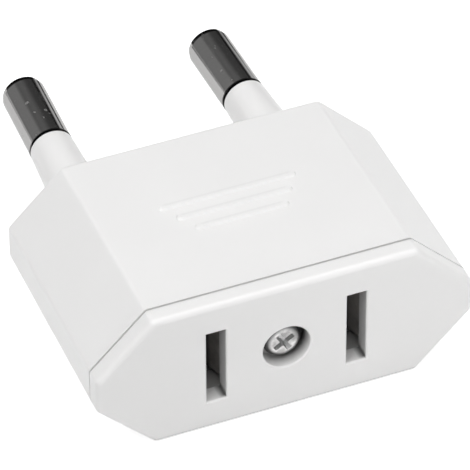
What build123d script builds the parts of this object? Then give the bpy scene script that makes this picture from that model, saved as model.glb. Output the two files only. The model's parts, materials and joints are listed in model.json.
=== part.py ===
from build123d import *
import os
from math import atan, cos, radians, sin, sqrt, tan

# Travel adapter lying on its wide side: X across, Y from the socket face towards the pins, Z up.
# Sizes are in millimetres. The origin is under the middle of the whole length, on the resting side.

# Body outline
body_width = 34.0
body_height = 13.5
corner_bevel = 5.1
body_depth = 21.7
housing_draft = 0.25
edge_radius = 0.6
rear_edge_radius = 0.3

# Housing walls
side_wall = 1.6
pin_wall = 2.2

# Grip ridges on the upper side: the rear one is the longest, and each one before it is shorter
ridge_count = 3
ridge_length = 11.8
ridge_step = 2.0
ridge_pitch = 1.7
ridge_middle = 11.6
ridge_width = 0.8
ridge_height = 0.18
ridge_taper = 45.0

# Front cover
cover_rim = 1.65
front_edge_radius = 0.5
seam_gap = 0.2
tongue_depth = 2.2
tongue_wall = 1.2
tongue_gap = 0.1

# Blade slots
blade_spacing = 12.7
slot_width = 1.8
slot_height = 7.6
mouth_bevel = 0.12

# Cover screw, its well and the post that takes it
well_diameter = 4.3
well_depth = 1.85
boss_diameter = 6.6
boss_floor = 1.2
screw_hole_diameter = 2.3
screw_head_diameter = 3.4
screw_head_height = 1.15
crown_width = 0.7
crown_height = 0.55
screw_core_diameter = 1.6
screw_length = 8.0
screw_point = 1.0
cross_span = 2.0
cross_width = 0.5
cross_depth = 0.8
cross_taper = 10.0
cross_turn = 32.0
post_diameter = 5.2
pilot_diameter = 1.7
pilot_spare = 1.2
post_rib = 1.0
post_rib_depth = 11.0

# Pins
pin_diameter = 4.0
pin_length = 19.0
pin_base_spacing = 18.9
pin_tip_spacing = 17.7
tip_inset = 0.12
tip_length = 0.5
end_diameter = 1.8
end_length = 0.75
sleeve_length = 10.2
sleeve_base_diameter = 4.8
sleeve_rim_bevel = 0.15
sleeve_root_radius = 0.4
groove_width = 0.2
groove_depth = 0.25
neck_diameter = 2.8
neck_gap = 0.03
tenon_diameter = 2.0
tenon_gap = 0.05
rivet_diameter = 3.0
rivet_height = 0.7
rivet_bevel = 0.5
seat_diameter = 5.4
seat_height = 0.6

# Contact strips
strip_thickness = 0.5
strip_width = 6.6
bend_radius = 0.7
nip_gap = 1.1
leaf_gap = 0.3
leaf_flare = 0.7
flare_length = 1.9
throat_gap = 2.0
web_margin = 0.4
shoulder_depth = 4.0
strip_gap = 0.3
ledge_gap = 0.1
ledge_width = 3.0
ledge_depth = 4.0

# Places worked out from the sizes above
front_y = -(body_depth + pin_length) / 2
rear_y = front_y + body_depth
mid_z = body_height / 2
seam_y = front_y + cover_rim
housing_y = seam_y + seam_gap
housing_depth = rear_y - housing_y
wall_y = rear_y - pin_wall
head_seat_y = front_y + well_depth
head_top_y = head_seat_y - screw_head_height
boss_y = head_seat_y + boss_floor
blade_x = blade_spacing / 2
leaf_y = seam_y + leaf_gap + strip_thickness / 2
nip_y = leaf_y + flare_length
seat_along = -(pin_wall + seat_height)
pin_radius = pin_diameter / 2
pin_lean = atan((pin_base_spacing - pin_tip_spacing) / 2 / pin_length)
pin_reach = pin_length / cos(pin_lean)
sides = {"left": -1, "right": 1}


def across(y):
    """Plane across the adapter at depth y, on the middle line, facing the pins."""
    return Plane(origin=(0, y, mid_z), x_dir=(1, 0, 0), z_dir=(0, 1, 0))


def beside_pin(side):
    """Plane through a pin's axis: x leads away from the axis, y along it and out of the pin face."""
    return Plane(
        origin=(side * pin_base_spacing / 2, rear_y, mid_z),
        x_dir=(side * cos(pin_lean), sin(pin_lean), 0),
        z_dir=(0, 0, side),
    )


def pin_axis(side):
    """A pin's axis, pointing out of the pin face."""
    plane = beside_pin(side)
    return Axis(plane.origin, plane.y_dir)


def round_pin(side, along):
    """Plane square to a pin's axis, that far out from the pin face."""
    plane = beside_pin(side)
    return Plane(origin=plane.origin + plane.y_dir * along, x_dir=(0, 0, 1), z_dir=plane.y_dir)


def draw_outline(inset=0.0):
    """Draws the eight-sided outline in the open sketch, moved inwards by inset."""
    Rectangle(body_width - 2 * inset, body_height - 2 * inset)
    chamfer(vertices(), corner_bevel - (2 - sqrt(2)) * inset)


def on_top(y):
    """Plane on the housing's upper side at depth y; the draft lowers and tilts it towards the pins."""
    slope = radians(housing_draft)
    height = body_height - (y - housing_y) * tan(slope)
    return Plane(origin=(0, y, height), x_dir=(1, 0, 0), z_dir=(0, sin(slope), cos(slope)))


def is_rail(edge):
    """True for the edges that run from the front to the back."""
    way = edge.tangent_at(0)
    return abs(way.Y) > max(abs(way.X), abs(way.Z))


def draft_sides():
    """Drafts all sides of the open part, so that they close in from the seam towards the pins."""
    draft(faces().filter_by(Axis.Y, reverse=True), across(housing_y), housing_draft)


# Hollow of the housing, open at the seam
with BuildPart() as cavity:
    with BuildSketch(across(housing_y)):
        draw_outline(side_wall)
    extrude(amount=housing_depth - pin_wall)
    draft_sides()

# Housing: drafted shell with sleeves, contact seats, ledges and a screw post
with BuildPart() as housing:
    with BuildSketch(across(housing_y)):
        draw_outline()
    extrude(amount=housing_depth)
    draft_sides()
    fillet(edges().filter_by(is_rail), edge_radius)
    fillet(faces().sort_by(Axis.Y)[-1].edges(), rear_edge_radius)
    add(cavity.part, mode=Mode.SUBTRACT)

    # Screw post from the pin wall to the cover's boss, with a rib to the upper and lower walls
    with BuildSketch(across(boss_y)):
        Circle(post_diameter / 2)
    extrude(amount=wall_y - boss_y + pin_wall / 2)
    with BuildSketch(across(wall_y - post_rib_depth)):
        Rectangle(post_rib, body_height - side_wall)
    extrude(amount=post_rib_depth + pin_wall / 2)
    with BuildSketch(across(boss_y)):
        Circle(pilot_diameter / 2)
    extrude(amount=screw_length - boss_floor + pilot_spare, mode=Mode.SUBTRACT)

    for side in sides.values():
        # Sleeve outside the pin wall and contact seat inside it, square to the pin
        with BuildSketch(beside_pin(side)):
            with BuildLine():
                Polyline(
                    (0, seat_along),
                    (seat_diameter / 2, seat_along),
                    (seat_diameter / 2, -pin_wall / 2),
                    (sleeve_base_diameter / 2, -pin_wall / 2),
                    (sleeve_base_diameter / 2, 0),
                    (pin_radius, sleeve_length),
                    (0, sleeve_length),
                    close=True,
                )
            make_face()
        revolve(axis=pin_axis(side))

        # Bore for the pin's neck
        with BuildSketch(round_pin(side, seat_along)):
            Circle(neck_diameter / 2 + neck_gap)
        extrude(amount=sleeve_length - seat_along, mode=Mode.SUBTRACT)

        # Ledges over and under the contact strip keep it from turning on its rivet
        ledge_low = strip_width / 2 + ledge_gap
        ledge_high = (body_height - side_wall) / 2
        with BuildSketch(across(wall_y - ledge_depth)):
            with Locations(
                (side * pin_base_spacing / 2, (ledge_low + ledge_high) / 2),
                (side * pin_base_spacing / 2, -(ledge_low + ledge_high) / 2),
            ):
                Rectangle(ledge_width, ledge_high - ledge_low)
        extrude(amount=ledge_depth + pin_wall / 2)

    pin_face = faces().filter_by(Axis.Y).sort_by(Axis.Y)[-1]
    fillet(pin_face.inner_wires().edges(), sleeve_root_radius)
    sleeve_ends = faces().filter_by(GeomType.PLANE).sort_by(Axis.Y)[-len(sides):]
    chamfer([end.outer_wire().edge() for end in sleeve_ends], sleeve_rim_bevel)

    # Grip ridges: low bars with round ends and slanting sides
    for row in range(ridge_count):
        ridge_y = front_y + ridge_middle + ((ridge_count - 1) / 2 - row) * ridge_pitch
        with BuildSketch(on_top(ridge_y)):
            SlotCenterToCenter(ridge_length - row * ridge_step, ridge_width)
        extrude(amount=ridge_height, taper=ridge_taper)

# Socket cover: rimmed plate with a locating tongue and a screw boss
with BuildPart() as socket_cover:
    with BuildSketch(across(front_y)):
        draw_outline()
    extrude(amount=cover_rim)
    fillet(edges().filter_by(is_rail), edge_radius)
    fillet(faces().sort_by(Axis.Y)[0].edges(), front_edge_radius)

    # Tongue that fits inside the housing's mouth
    with BuildSketch(across(seam_y)):
        draw_outline(side_wall + tongue_gap)
    extrude(amount=tongue_depth)
    with BuildSketch(across(seam_y)):
        draw_outline(side_wall + tongue_gap + tongue_wall)
    extrude(amount=tongue_depth, mode=Mode.SUBTRACT)

    # Boss under the well
    with BuildSketch(across(seam_y)):
        Circle(boss_diameter / 2)
    extrude(amount=boss_y - seam_y)

    # Well and screw hole from the front
    with Locations(Plane(origin=(0, front_y, mid_z), x_dir=(1, 0, 0), z_dir=(0, -1, 0))):
        CounterBoreHole(screw_hole_diameter / 2, well_diameter / 2, well_depth)

    # Blade slots; their mouths and the well's have a small broken edge
    with BuildSketch(across(front_y)):
        with GridLocations(blade_spacing, 0, 2, 1):
            Rectangle(slot_width, slot_height)
    extrude(amount=cover_rim, mode=Mode.SUBTRACT)
    chamfer(faces().sort_by(Axis.Y)[0].inner_wires().edges(), mouth_bevel)

# Cover screw: pan head with a cross recess, and a plain core in place of its thread
with BuildPart() as cover_screw:
    with BuildSketch(Plane.XY.offset(mid_z)):
        with BuildLine():
            crown = EllipticalCenterArc(
                (screw_head_diameter / 2 - crown_width, head_top_y + crown_height),
                crown_width,
                crown_height,
                start_angle=-90,
                arc_size=90,
            )
            Polyline(
                crown @ 1,
                (screw_head_diameter / 2, head_seat_y),
                (screw_core_diameter / 2, head_seat_y),
                (screw_core_diameter / 2, head_seat_y + screw_length - screw_point),
                (0, head_seat_y + screw_length),
                (0, head_top_y),
                crown @ 0,
            )
        make_face()
    revolve(axis=Axis((0, 0, mid_z), (0, 1, 0)))
    with BuildSketch(across(head_top_y)):
        Rectangle(cross_span, cross_width, rotation=-cross_turn)
        Rectangle(cross_width, cross_span, rotation=-cross_turn)
    extrude(amount=cross_depth, taper=cross_taper, mode=Mode.SUBTRACT)

os.makedirs("parts", exist_ok=True)
housing.part.label = "housing"
export_step(housing.part, "parts/housing.step")
socket_cover.part.label = "socket_cover"
export_step(socket_cover.part, "parts/socket_cover.step")
cover_screw.part.label = "cover_screw"
export_step(cover_screw.part, "parts/cover_screw.step")

for hand, side in sides.items():
    # Pin: two lead-in cones at the tip, groove at the sleeve, neck through it and the wall, peened tenon
    strip_face = seat_along - strip_thickness
    with BuildPart() as pin:
        with BuildSketch(beside_pin(side)):
            with BuildLine():
                Polyline(
                    (pin_radius, sleeve_length + groove_width),
                    (pin_radius, pin_reach - end_length - tip_length),
                    (pin_radius - tip_inset, pin_reach - end_length),
                    (end_diameter / 2, pin_reach),
                    (0, pin_reach),
                    (0, strip_face - rivet_height),
                    (rivet_diameter / 2 - rivet_bevel, strip_face - rivet_height),
                    (rivet_diameter / 2, strip_face - rivet_height + rivet_bevel),
                    (rivet_diameter / 2, strip_face),
                    (tenon_diameter / 2, strip_face),
                    (tenon_diameter / 2, seat_along),
                    (neck_diameter / 2, seat_along),
                    (neck_diameter / 2, sleeve_length),
                    (pin_radius - groove_depth, sleeve_length),
                    (pin_radius - groove_depth, sleeve_length + groove_width),
                    close=True,
                )
            make_face()
        revolve(axis=pin_axis(side))
    pin.part.label = f"pin_{hand}"
    export_step(pin.part, f"parts/pin_{hand}.step")

    # Contact: one strip bent into a clip, its web on the seat and its two leaves nipping the blade
    with BuildPart() as contact:
        web = beside_pin(side)
        web_along = seat_along - strip_thickness / 2
        inner_out = blade_x - (throat_gap + strip_thickness) / 2 - pin_base_spacing / 2
        outer_out = rivet_diameter / 2 + web_margin + bend_radius
        inner_corner = web.from_local_coords((inner_out, web_along, 0))
        outer_corner = web.from_local_coords((outer_out, web_along, 0))
        shoulder = web.from_local_coords((outer_out, web_along - shoulder_depth, 0))
        leaf = (nip_gap + strip_thickness) / 2
        with BuildSketch(Plane.XY.offset(mid_z - strip_width / 2)):
            with BuildLine():
                FilletPolyline(
                    (side * (blade_x - leaf - leaf_flare), leaf_y),
                    (side * (blade_x - leaf), nip_y),
                    (inner_corner.X, inner_corner.Y),
                    (outer_corner.X, outer_corner.Y),
                    (shoulder.X, shoulder.Y),
                    (side * (blade_x + leaf), nip_y),
                    (side * (blade_x + leaf + leaf_flare), leaf_y),
                    radius=bend_radius,
                )
                offset(amount=strip_thickness / 2, side=Side.BOTH)
            make_face()
        extrude(amount=strip_width)
        with BuildSketch(round_pin(side, seat_along - strip_thickness)):
            Circle(tenon_diameter / 2 + tenon_gap)
        extrude(amount=strip_thickness, mode=Mode.SUBTRACT)

        # Corners that would come too near to the housing's walls are trimmed off
        with BuildSketch(across(housing_y)):
            draw_outline(side_wall + strip_gap)
        extrude(amount=housing_depth, mode=Mode.INTERSECT)
    contact.part.label = f"contact_{hand}"
    export_step(contact.part, f"parts/contact_{hand}.step")
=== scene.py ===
import bpy
import json
import math
import numpy as np
from mathutils import Matrix, Vector


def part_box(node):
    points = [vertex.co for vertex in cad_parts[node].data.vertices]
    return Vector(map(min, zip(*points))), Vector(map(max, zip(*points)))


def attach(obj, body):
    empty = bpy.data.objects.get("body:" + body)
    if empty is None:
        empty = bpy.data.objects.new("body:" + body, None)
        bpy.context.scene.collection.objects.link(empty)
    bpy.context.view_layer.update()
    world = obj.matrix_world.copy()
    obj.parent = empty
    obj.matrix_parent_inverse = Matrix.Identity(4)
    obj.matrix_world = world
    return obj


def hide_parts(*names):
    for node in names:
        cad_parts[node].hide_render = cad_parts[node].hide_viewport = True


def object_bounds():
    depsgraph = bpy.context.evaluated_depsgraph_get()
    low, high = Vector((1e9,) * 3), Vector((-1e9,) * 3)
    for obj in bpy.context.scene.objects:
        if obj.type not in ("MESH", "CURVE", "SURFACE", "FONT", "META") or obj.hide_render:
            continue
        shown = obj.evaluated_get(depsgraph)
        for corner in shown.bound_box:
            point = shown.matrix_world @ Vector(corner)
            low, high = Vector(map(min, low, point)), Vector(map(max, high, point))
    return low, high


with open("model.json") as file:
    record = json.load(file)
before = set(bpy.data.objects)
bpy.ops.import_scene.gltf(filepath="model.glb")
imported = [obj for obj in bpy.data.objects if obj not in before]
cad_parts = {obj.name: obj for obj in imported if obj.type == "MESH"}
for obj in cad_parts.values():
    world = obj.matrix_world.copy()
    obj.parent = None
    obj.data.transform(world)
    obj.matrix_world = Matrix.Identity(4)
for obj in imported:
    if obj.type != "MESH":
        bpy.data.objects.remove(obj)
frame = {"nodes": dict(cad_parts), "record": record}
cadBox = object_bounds()
nodes = frame["nodes"]
print("frame loaded:", len(nodes), "pieces")


# A socket that can be added, subtracted, multiplied and divided like a number
class Field:
    def __init__(self, finish, socket):
        self.finish = finish
        self.socket = socket

    def out(self, name):                     # another output of the same node
        return Field(self.finish, self.socket.node.outputs[name])

    def __add__(self, other):
        return self.finish.maths("ADD", self, other)

    def __radd__(self, other):
        return self.finish.maths("ADD", other, self)

    def __sub__(self, other):
        return self.finish.maths("SUBTRACT", self, other)

    def __rsub__(self, other):
        return self.finish.maths("SUBTRACT", other, self)

    def __mul__(self, other):
        return self.finish.maths("MULTIPLY", self, other)

    def __rmul__(self, other):
        return self.finish.maths("MULTIPLY", other, self)

    def __truediv__(self, other):
        return self.finish.maths("DIVIDE", self, other)

    def __rtruediv__(self, other):
        return self.finish.maths("DIVIDE", other, self)


# A node tree that is filled by one method: the node's type, its settings, then its sockets
class Finish:
    def __init__(self, owner):
        owner.use_nodes = True
        self.tree = owner.node_tree
        self.tree.nodes.clear()

    def node(self, kind, settings=None, sockets=None):
        made = self.tree.nodes.new(kind)
        for name, value in (settings or {}).items():
            if name == "stops":
                self.setStops(made.color_ramp, value)
            else:
                setattr(made, name, value)
        for name, value in (sockets or {}).items():
            if isinstance(value, Field):
                self.tree.links.new(value.socket, made.inputs[name])
            else:
                made.inputs[name].default_value = value
        return Field(self, made.outputs[0]) if len(made.outputs) else None

    def setStops(self, ramp, stops):
        while len(ramp.elements) < len(stops):
            ramp.elements.new(0.5)
        for element, (place, shade) in zip(ramp.elements, stops):
            element.position = place
            element.color = (shade, shade, shade, 1)

    def place(self):                         # the piece's own coordinates, in metres
        return self.node("ShaderNodeTexCoord").out("Object")

    def stretched(self, scale):              # those coordinates, drawn out along each axis
        return self.node("ShaderNodeMapping", None, {"Vector": self.place(), "Scale": scale})

    def noise(self, vector, scale, detail=2.0, rough=0.5):
        return self.node("ShaderNodeTexNoise", None, {
            "Vector": vector, "Scale": scale, "Detail": detail, "Roughness": rough}).out("Fac")

    def parts(self):                         # x, y and z of the piece's own coordinates
        split = self.node("ShaderNodeSeparateXYZ", None, {0: self.place()})
        return split, split.out("Y"), split.out("Z")

    def maths(self, operation, *values):
        return self.node("ShaderNodeMath", {"operation": operation}, dict(enumerate(values)))

    def near(self, value, middle, half):     # 1 within half of the middle, else 0
        return self.maths("COMPARE", value, middle, half)

    def rise(self, value, low, high):        # from 0 at low to 1 at high
        return self.node("ShaderNodeMapRange", None, {0: value, 1: low, 2: high, 3: 0.0, 4: 1.0})

    def ramp(self, value, stops):
        return self.node("ShaderNodeValToRGB", {"stops": stops}, {"Fac": value})

    def blend(self, amount, first, second):  # from the first colour to the second
        mixed = self.node("ShaderNodeMix", {"data_type": "RGBA"}, {0: amount, 6: first, 7: second})
        return mixed.out(2)

    def bump(self, height, strength, depth):
        return self.node("ShaderNodeBump", None, {
            "Height": height, "Strength": strength, "Distance": depth})

    def surface(self, sockets):
        shader = self.node("ShaderNodeBsdfPrincipled", None, sockets)
        self.node("ShaderNodeOutputMaterial", None, {"Surface": shader})


def newFinish(name):
    material = bpy.data.materials.new(name)
    return material, Finish(material)


def grey(value, warmth=0.0):
    return (value, value * (1 - warmth / 2), value * (1 - warmth), 1)


# Moulded white plastic: satin skin that light seeps into, faint cloudiness, a very fine spark-eroded grain,
# painted shade in the recesses, a line of painted shade behind each grip ridge and painted shade along the
# lower front edge.
# Places, depths and reaches are in metres, and depth is counted from the front face. A noise, here and in the
# other finishes, has a scale, a detail and a roughness.
plasticLook = {"pale": 0.9, "dull": 0.875, "warmth": 0.01, "recess": 0.04,
               "cloud": (140, 4, 0.55), "grain": (5200, 3, 0.6), "grainDepth": 0.000003,
               "roughness": 0.34, "grainRough": 0.12, "cloudRough": 0.1,
               "seep": 0.4, "seepDepth": 0.0005, "refraction": 1.5,
               "recessHalf": 0.0045, "recessDepth": 0.0045,
               "slotPlace": 0.00635, "slotHalf": 0.0016, "slotShade": 0.36, "slotDepths": (0.00008, 0.0004),
               "slotFloor": 0.0038, "slotSide": 0.0009, "floorHalf": 0.0001, "floorLift": 0.28,
               "cornerShade": 0.8, "cornerReach": (0.0001, 0.0006),
               "deepShade": 0.56, "deepDepths": (0.00155, 0.00175),
               "wellHalf": 0.0024, "wellShade": 0.6, "wellSlant": 190, "wellDepths": (0.0003, 0.0016),
               "ridgePlace": 0.0116, "ridgePitch": 0.0017, "ridgeRows": 1.5, "ridgeReach": 0.0049,
               "ridgeStep": 0.001, "ridgeFade": 0.0004, "ridgeBack": 0.00015, "ridgeHalf": 0.00022,
               "ridgeShade": 0.055, "topBand": 0.0008,
               "edgeShade": 0.45, "edgeReach": 0.002, "edgeHeights": (0.0002, 0.00045)}


def whitePlastic():
    look = plasticLook
    material, finish = newFinish("white_plastic_moulded")
    cloud = finish.noise(finish.place(), *look["cloud"])
    grain = finish.noise(finish.place(), *look["grain"])
    tone = finish.blend(cloud, grey(look["dull"], look["warmth"]), grey(look["pale"], look["warmth"]))
    x, y, z = finish.parts()
    depth = y - cadBox[0].y
    side = finish.maths("ABSOLUTE", x)

    # painted shade in the blade slots: dark inside, less on their floor, black in the lower right corner and
    # darker again deep behind the plate
    slotFloor = screwMiddle - look["slotFloor"]
    inside = finish.rise(depth, *look["slotDepths"])
    bottom = finish.near(z, slotFloor, look["floorHalf"])
    wall = (look["slotShade"] - look["floorLift"] * bottom) * inside
    across = x - look["slotPlace"] * finish.maths("SIGN", x)
    corner = look["slotSide"] - across + z - slotFloor
    cornerShadow = look["cornerShade"] * (1 - finish.rise(corner, *look["cornerReach"])) * inside
    wall = wall + cornerShadow * (1 - wall)
    deep = finish.rise(depth, *look["deepDepths"])
    wall = wall + deep * (look["deepShade"] - wall)
    slots = finish.near(side, look["slotPlace"], look["slotHalf"]) * wall

    # painted shade in the screw well: darker the deeper it goes, and more so to the right
    slant = look["wellShade"] + look["wellSlant"] * x
    well = slant * finish.near(x, 0, look["wellHalf"]) * finish.rise(depth, *look["wellDepths"])
    band = finish.near(depth, 0, look["recessDepth"]) * finish.near(z, screwMiddle, look["recessHalf"])

    # a faint line of painted shade along the rear edge of each grip ridge, strongest in its middle
    row = (depth - look["ridgePlace"]) / look["ridgePitch"]
    half = look["ridgePitch"] / 2
    past = finish.maths("WRAP", depth - look["ridgePlace"], half, -half)
    past = (past - look["ridgeBack"]) / look["ridgeHalf"]
    reach = finish.rise(look["ridgeReach"] + look["ridgeStep"] * row - side, 0, look["ridgeFade"])
    ridges = reach * finish.near(row, 0, look["ridgeRows"]) * finish.near(z, cadBox[1].z, look["topBand"])
    ridgeShadeLine = look["ridgeShade"] * ridges * finish.maths("MAXIMUM", 1 - past * past, 0.0)
    # painted shade along the lowest edge of the front
    low = 1 - finish.rise(z, *look["edgeHeights"])
    lowEdgeShade = look["edgeShade"] * low * finish.near(depth, 0, look["edgeReach"])
    rough = look["grainRough"] * (grain - 0.5) + look["cloudRough"] * (cloud - 0.5)
    finish.surface({
        "Base Color": finish.blend(band * (slots + well) + ridgeShadeLine + lowEdgeShade, tone, grey(look["recess"])),
        "Roughness": look["roughness"] + rough,
        "Normal": finish.bump(grain, 1.0, look["grainDepth"]),
        "Subsurface Weight": look["seep"],
        "Subsurface Scale": look["seepDepth"],
        "Subsurface Radius": (1.0, 1.0, 1.0),
        "IOR": look["refraction"]})
    return material


# Bright nickel on turned brass: rings left by the lathe, drawn-out scuffs along the pin, a few specks,
# and painted shade in the groove at the end of the sleeve
nickelLook = {"bright": 0.37, "dull": 0.33, "edge": 0.7, "warmth": 0.02,
              "ringScale": (300, 9000, 300), "rings": (1, 2, 0.5), "ringDepth": 0.000003, "ringStrength": 0.3,
              "scuffScale": (9000, 260, 9000), "scuffs": (1, 3, 0.6), "scuffStops": ((0.52, 0), (0.72, 1)),
              "scuffHeight": 0.4, "specks": (1700, 1, 0.4), "speckStops": ((0.69, 0), (0.77, 1)),
              "roughness": 0.075, "ringRough": 0.04, "scuffRough": 0.1, "speckRough": 0.28,
              "groove": 0.06, "groovePlace": 0.01163, "grooveHalf": 0.00017}


def nickelPlate():
    look = nickelLook
    material, finish = newFinish("pin_nickel_turned")
    rings = finish.noise(finish.stretched(look["ringScale"]), *look["rings"])
    scuffs = finish.noise(finish.stretched(look["scuffScale"]), *look["scuffs"])
    scuffs = finish.ramp(scuffs, look["scuffStops"])
    specks = finish.ramp(finish.noise(finish.place(), *look["specks"]), look["speckStops"])
    tone = finish.blend(rings, grey(look["dull"], look["warmth"]), grey(look["bright"], look["warmth"]))
    # painted shade: a dark band round the pin where the groove at the sleeve's end lies
    groove = finish.near(finish.parts()[1], look["groovePlace"], look["grooveHalf"])
    rough = look["ringRough"] * rings + look["scuffRough"] * scuffs + look["speckRough"] * specks
    finish.surface({
        "Base Color": finish.blend(groove, tone, grey(look["groove"])),
        "Metallic": 1.0,
        "Specular Tint": grey(look["edge"]),
        "Roughness": look["roughness"] + rough,
        "Normal": finish.bump(rings + look["scuffHeight"] * scuffs, look["ringStrength"], look["ringDepth"])})
    return material


# Rolled strip with dull tin plating: lines along the strip and a thin cloudy tarnish, with painted shade deep
# inside
stripLook = {"clean": 0.5, "tarnish": 0.3, "warmth": 0.06,
             "lineScale": (7000, 500, 7000), "lines": (1, 3, 0.6), "lineDepth": 0.000004, "lineStrength": 0.3,
             "stain": (420, 4, 0.6), "stainStops": ((0.42, 0), (0.75, 1)),
             "roughness": 0.4, "lineRough": 0.14, "stainRough": 0.12,
             "black": 0.12, "stripShadeDepths": (0.0034, 0.004)}


def tinnedStrip():
    look = stripLook
    material, finish = newFinish("contact_strip_tinned")
    lines = finish.noise(finish.stretched(look["lineScale"]), *look["lines"])
    stain = finish.ramp(finish.noise(finish.place(), *look["stain"]), look["stainStops"])
    tone = finish.blend(stain, grey(look["clean"], look["warmth"]), grey(look["tarnish"], look["warmth"]))
    # painted shade: the strip turns near black deep inside the socket
    black = finish.rise(finish.parts()[1] - cadBox[0].y, *look["stripShadeDepths"])
    finish.surface({
        "Base Color": finish.blend(black, tone, grey(look["black"])),
        "Metallic": 1.0,
        "Roughness": look["roughness"] + look["lineRough"] * lines + look["stainRough"] * stain,
        "Normal": finish.bump(lines, look["lineStrength"], look["lineDepth"])})
    return material


# Zinc-plated steel: pale, mottled and finely pitted, with painted light low in the cross and a painted shadow
# round the rim
zincLook = {"pale": 0.58, "dull": 0.28, "warmth": 0.02,
            "mottle": (1300, 3, 0.55), "mottleStops": ((0.35, 0), (0.62, 1)),
            "pits": (9000, 2, 0.5), "pitDepth": 0.000005, "pitStrength": 0.3,
            "roughness": 0.38, "mottleRough": 0.1, "pitRough": 0.08,
            "lowLight": 0.55, "lowLightDepths": (0.0, 0.0002), "rim": 0.12, "rimShadowRadii": (0.0011, 0.00143)}


def zincPlate():
    look = zincLook
    material, finish = newFinish("screw_zinc_plated")
    mottle = finish.ramp(finish.noise(finish.place(), *look["mottle"]), look["mottleStops"])
    pits = finish.noise(finish.place(), *look["pits"])
    clean = finish.blend(mottle, grey(look["dull"], look["warmth"]), grey(look["pale"], look["warmth"]))
    x, y, z = finish.parts()
    depth, up = y - screwTop, z - screwMiddle
    # painted light: below the crown's top the mottle gives way to one flat pale tone, low in the cross
    tone = finish.blend(finish.rise(depth, *look["lowLightDepths"]), clean, grey(look["lowLight"]))
    # painted shadow round the head's rim, next to the well's edge
    rim = finish.rise(finish.maths("SQRT", x * x + up * up), *look["rimShadowRadii"])
    finish.surface({
        "Base Color": finish.blend(rim, tone, grey(look["rim"])),
        "Metallic": 1.0,
        "Roughness": look["roughness"] - look["mottleRough"] * (mottle - 0.5) + look["pitRough"] * pits,
        "Normal": finish.bump(pits, look["pitStrength"], look["pitDepth"])})
    return material


screwLow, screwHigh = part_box("cover_screw")
screwTop, screwMiddle = screwLow.y, (screwLow.z + screwHigh.z) / 2
finishes = {"white_plastic": whitePlastic(), "pin_nickel": nickelPlate(),
            "contact_strip": tinnedStrip(), "screw_steel": zincPlate()}
for part in frame["record"]["subparts"]:
    slots = nodes[part["node"]].data.materials
    slots.clear()
    slots.append(finishes[part["material_slot"]])
print("finishes on:", ", ".join(sorted(nodes)))


def makePiece(name, points, faces, material):
    mesh = bpy.data.meshes.new(name)
    mesh.from_pydata(points.tolist(), [], faces)
    mesh.materials.append(material)
    piece = bpy.data.objects.new(name, mesh)
    bpy.context.scene.collection.objects.link(piece)
    return piece


# Cover screw: the cross, the crown and the thread are one closed skin. Sizes in metres.
screwShape = {"crossTurn": 32.0, "crossSpan": 0.0020, "crossWidth": 0.0005, "crossDepth": 0.0008,
              "wallRun": 0.00014, "endRun": 0.0003, "crownWidth": 0.0007, "crownHeight": 0.00055,
              "headHeight": 0.00115, "headBevel": 0.00008, "coreRadius": 0.0008, "threadHeight": 0.00028,
              "threadPitch": 0.0009, "threadFlank": 0.3, "plainLength": 0.0009, "pointLength": 0.0014,
              "pointPower": 0.8, "crossLines": (2, 3, 6, 4), "rimLines": 11, "rings": 190, "sharpAngle": 38}


def screwLines(shape, radius):
    # lines of the head's grid, closer together at the walls of the cross and towards the rim
    half, reach = shape["crossWidth"] / 2, shape["crossSpan"] / 2
    marks = (0, half - shape["wallRun"], half, reach - shape["endRun"], reach)
    counts = shape["crossLines"]
    spans = [np.linspace(a, b, n, endpoint=False) for a, b, n in zip(marks, marks[1:], counts)]
    rim = reach + (radius - reach) * np.sin(np.linspace(0, math.pi / 2, shape["rimLines"]))
    side = np.concatenate(spans + [rim])
    return np.concatenate((-side[:0:-1], side)) / radius


def screwHead(shape, radius):
    # a square grid whose middle stays square and whose outer lines bend until the last one is a circle;
    # depth = the crown's quarter ellipse plus the deeper of the two arms of the cross
    lines = screwLines(shape, radius)
    u, v = np.meshgrid(lines, lines, indexing="ij")
    ring = np.maximum(abs(u), abs(v))
    inner = shape["crossSpan"] / 2 / radius
    bend = np.clip((ring - inner) / (1 - inner), 0, 1)
    stretch = 1 + bend * (ring / np.maximum(np.hypot(u, v), 1e-9) - 1)
    x, z = radius * u * stretch, radius * v * stretch
    out = np.clip((np.hypot(x, z) - radius + shape["crownWidth"]) / shape["crownWidth"], 0, 1)
    crown = shape["crownHeight"] * (1 - np.sqrt(1 - out ** 2))

    def arm(along, across):
        side = (shape["crossWidth"] / 2 - abs(across)) / shape["wallRun"]
        end = (shape["crossSpan"] / 2 - abs(along)) / shape["endRun"]
        return shape["crossDepth"] * np.clip(np.minimum(side, end), 0, 1)

    depth = np.maximum(crown, np.maximum(arm(x, z), arm(z, x)))
    turn = math.radians(shape["crossTurn"])
    turned = (x * math.cos(turn) - z * math.sin(turn), depth, x * math.sin(turn) + z * math.cos(turn))
    return np.stack(turned, axis=-1)


def screwStem(shape, radius, length, rim):
    # rings below the rim: radius = head, then core plus a ridge that climbs one pitch a turn, then a cone
    head, core, bevel = shape["headHeight"], shape["coreRadius"], shape["headBevel"]
    angle = np.arctan2(rim[:, 2], rim[:, 0])
    down = np.linspace(head, length, shape["rings"])
    thread = (down[:, None] - head) / shape["threadPitch"] - angle[None, :] / (2 * math.pi)
    ridge = np.clip(1 - abs(thread % 1 - 0.5) / shape["threadFlank"], 0, 1)
    fade = np.clip((down - head - shape["plainLength"]) / shape["threadPitch"], 0, 1)
    cone = np.clip((length - down) / shape["pointLength"], 0, 1) ** shape["pointPower"]
    stem = (core + shape["threadHeight"] * ridge * fade[:, None]) * cone[:, None]
    collar = np.array([[radius, head - bevel], [radius - bevel, head]])
    radii = np.concatenate((np.repeat(collar[:, :1], len(angle), axis=1), stem[:-1]))
    downs = np.concatenate((collar[:, 1], down[:-1]))[:, None] + np.zeros_like(radii)
    return np.stack((radii * np.cos(angle), downs, radii * np.sin(angle)), axis=-1)


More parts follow.
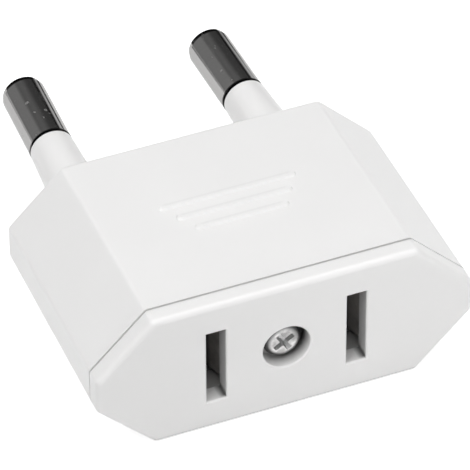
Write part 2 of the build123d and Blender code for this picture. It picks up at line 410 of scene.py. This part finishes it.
def coverScrew():
    shape = screwShape
    radius, length = (screwHigh.x - screwLow.x) / 2, screwHigh.y - screwLow.y
    head = screwHead(shape, radius)
    n = len(head)
    number = np.arange(n * n).reshape(n, n)
    loop = np.concatenate((number[:-1, 0], number[-1, :-1], number[:0:-1, -1], number[0, :0:-1]))
    points = head.reshape(-1, 3)
    stem = screwStem(shape, radius, length, points[loop])
    rows = np.concatenate((loop[None], n * n + np.arange(stem.shape[0] * len(loop)).reshape(-1, len(loop))))
    points = np.concatenate((points, stem.reshape(-1, 3), [[0, length, 0]]))
    top = np.stack((number[:-1, :-1], number[1:, :-1], number[1:, 1:], number[:-1, 1:]), axis=-1)
    after = np.roll(rows, -1, axis=1)
    wall = np.stack((rows[:-1], rows[1:], after[1:], after[:-1]), axis=-1)
    tip = np.stack((rows[-1], np.full(len(loop), len(points) - 1), after[-1]), axis=-1)
    faces = top.reshape(-1, 4).tolist() + wall.reshape(-1, 4).tolist() + tip.tolist()
    points += ((screwLow.x + screwHigh.x) / 2, screwTop, screwMiddle)
    screw = makePiece("cover_screw_threaded", points, faces, finishes["screw_steel"])
    screw.data.shade_smooth()
    screw.data.set_sharp_from_angle(angle=math.radians(shape["sharpAngle"]))
    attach(screw, "root")
    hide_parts("cover_screw")
    print("screw:", len(points), "points,", len(faces), "faces")


coverScrew()

# White floor that keeps the adapter's shadow. Sizes in metres.
stageShape = {"floorHalf": 1.6, "floorDrop": 0.00002, "floorShade": 0.8, "floorGlow": 0.66}

# Dark card behind the pins, which only mirrors see: it lies on the floor, then bends up. Sizes in metres.
cardShape = {"near": 0.05, "far": 0.5, "left": -0.9, "right": 0.47, "top": 0.9, "lift": 0.0002,
             "ways": (-1.0, 0.9),
             "shades": ((0.25, 0.395), (0.3, 0.28), (0.35, 0.205), (0.44, 0.23), (0.53, 0.23), (0.6, 0.2),
                        (0.66, 0.16), (0.72, 0.115), (0.8, 0.1), (1.0, 0.095)),
             "lowHeights": (0.02, 0.06), "lowDim": 0.2,
             "blackHeights": (0.2, 0.26), "blackWays": (-0.5, -0.33), "blackShade": 0.01,
             "whiteHeights": (0.1, 0.14), "whiteWays": (0.84, 0.98), "whiteShade": 1.7,
             "paperWays": (-0.8, -0.6), "paperShade": 0.95}


def seenDirectly(finish):
    # 1 for the camera, for mirrors and for glass, 0 for diffuse light
    path = finish.node("ShaderNodeLightPath")
    ways = path.out("Is Camera Ray") + path.out("Is Glossy Ray") + path.out("Is Transmission Ray")
    return finish.maths("MINIMUM", ways, 1.0)


def makeFloor():
    shape = stageShape
    half, drop = shape["floorHalf"], -shape["floorDrop"]
    material, finish = newFinish("floor_white")
    base = finish.node("ShaderNodeBsdfDiffuse", None, {"Color": grey(shape["floorShade"])})
    shade = finish.blend(seenDirectly(finish), grey(0.0), grey(shape["floorGlow"]))
    glow = finish.node("ShaderNodeEmission", None, {"Color": shade})
    both = finish.node("ShaderNodeAddShader", None, {0: base, 1: glow})
    finish.node("ShaderNodeOutputMaterial", None, {"Surface": both})
    corners = np.array([[-half, -half, drop], [half, -half, drop], [half, half, drop], [-half, half, drop]])
    makePiece("floor", corners, [[0, 1, 2, 3]], material)


def makeCard():
    # a strip carried along a path of three points; its shade goes by the way x / y, a little dimmer low down.
    # Low down it is nearly black behind the pins and white to their right, and at the left the floor's white
    # fades out along it
    shape = cardShape
    material, finish = newFinish("card_dark")
    x, y, z = finish.parts()
    way = x / y
    right = finish.rise(way, *shape["whiteWays"])
    behind = finish.rise(way, *shape["blackWays"]) * (1 - right)
    left = 1 - finish.rise(way, *shape["paperWays"])
    dim = shape["lowDim"] * (1 - finish.rise(z, *shape["lowHeights"]))
    black = behind * (1 - finish.rise(z, *shape["blackHeights"]))
    white = right * (1 - finish.rise(z, *shape["whiteHeights"]))
    paper = left * (1 - finish.rise(y, shape["near"], shape["far"]))
    shade = finish.ramp(finish.rise(way, *shape["ways"]), shape["shades"])
    shade = finish.blend(dim, shade, grey(shape["blackShade"]))
    shade = finish.blend(black, shade, grey(shape["blackShade"]))
    shade = finish.blend(white, shade, grey(shape["whiteShade"]))
    shade = finish.blend(paper, shade, grey(shape["paperShade"]))
    glow = finish.node("ShaderNodeEmission", None, {"Color": shade})
    finish.node("ShaderNodeOutputMaterial", None, {"Surface": glow})
    path = ((shape["near"], shape["lift"]), (shape["far"], shape["lift"]), (shape["far"], shape["top"]))
    corners = np.array([(edge, y, z) for y, z in path for edge in (shape["left"], shape["right"])])
    card = makePiece("card", corners, [[0, 1, 3, 2], [2, 3, 5, 4]], material)
    card.visible_camera = False
    card.visible_diffuse = False
    card.visible_transmission = False
    card.visible_shadow = False


makeFloor()
makeCard()
print("floor and card in place")

# Light: an even pale room and soft lamps. A lamp has its way from the adapter, distance, size and power.
lightLevels = {"room": 0.085}
lampPlaces = {"top": ((0.0, -0.04, 1.0), 0.6, 0.9, 4.44),
              "left": ((-0.6, -0.3, 0.74), 0.6, 0.35, 0.825),
              "front": ((0.15, -0.97, 0.2), 0.5, 0.3, 0.107),
              "near_right": ((0.36, -0.93, 0.0), 0.084, 0.05, 0.0105)}


def makeRoom():
    world = bpy.data.worlds.new("pale_room")
    bpy.context.scene.world = world
    finish = Finish(world)
    white = finish.blend(seenDirectly(finish), grey(lightLevels["room"]), grey(1.0))
    sky = finish.node("ShaderNodeBackground", None, {"Color": white, "Strength": 1.0})
    finish.node("ShaderNodeOutputWorld", None, {"Surface": sky})


def makeLamp(name, way, distance, size, power):
    lamp = bpy.data.lights.new(name, "AREA")
    lamp.size = size
    lamp.energy = power
    holder = bpy.data.objects.new(name, lamp)
    way = Vector(way).normalized()
    holder.location = (cadBox[0] + cadBox[1]) / 2 + way * distance
    holder.rotation_mode = "QUATERNION"
    holder.rotation_quaternion = way.to_track_quat("Z", "Y")
    bpy.context.scene.collection.objects.link(holder)


makeRoom()
for lampName, lampPlace in lampPlaces.items():
    makeLamp(lampName, *lampPlace)
print("room lit, with", len(lampPlaces), "lamps")

# Camera: round the adapter by azimuth and elevation, then rolled a little about its own line of sight
cameraPlace = {"azimuth": -21.86, "elevation": 40.9, "roll": -0.37, "distance": 0.4,
               "aim": (-0.001696, -0.013029, 0.013866), "focalPixels": 4780.9, "imagePixels": 470,
               "sensor": 36.0, "clip": (0.01, 10)}


def makeCamera():
    place = cameraPlace
    turn, rise, roll = (math.radians(place[name]) for name in ("azimuth", "elevation", "roll"))
    back = Vector((math.sin(turn) * math.cos(rise), -math.cos(turn) * math.cos(rise), math.sin(rise)))
    level = Vector((math.cos(turn), math.sin(turn), 0))
    right = level * math.cos(roll) + back.cross(level) * math.sin(roll)
    lens = bpy.data.cameras.new("photo_camera")
    lens.sensor_width = place["sensor"]
    lens.lens = place["focalPixels"] / place["imagePixels"] * place["sensor"]
    lens.clip_start, lens.clip_end = place["clip"]
    camera = bpy.data.objects.new("photo_camera", lens)
    axes = Matrix((right, back.cross(right), back)).transposed()
    spot = Vector(place["aim"]) + back * place["distance"]
    camera.matrix_world = Matrix.Translation(spot) @ axes.to_4x4()
    bpy.context.scene.collection.objects.link(camera)
    bpy.context.scene.camera = camera


makeCamera()
bpy.context.scene.view_settings.view_transform = "Standard"
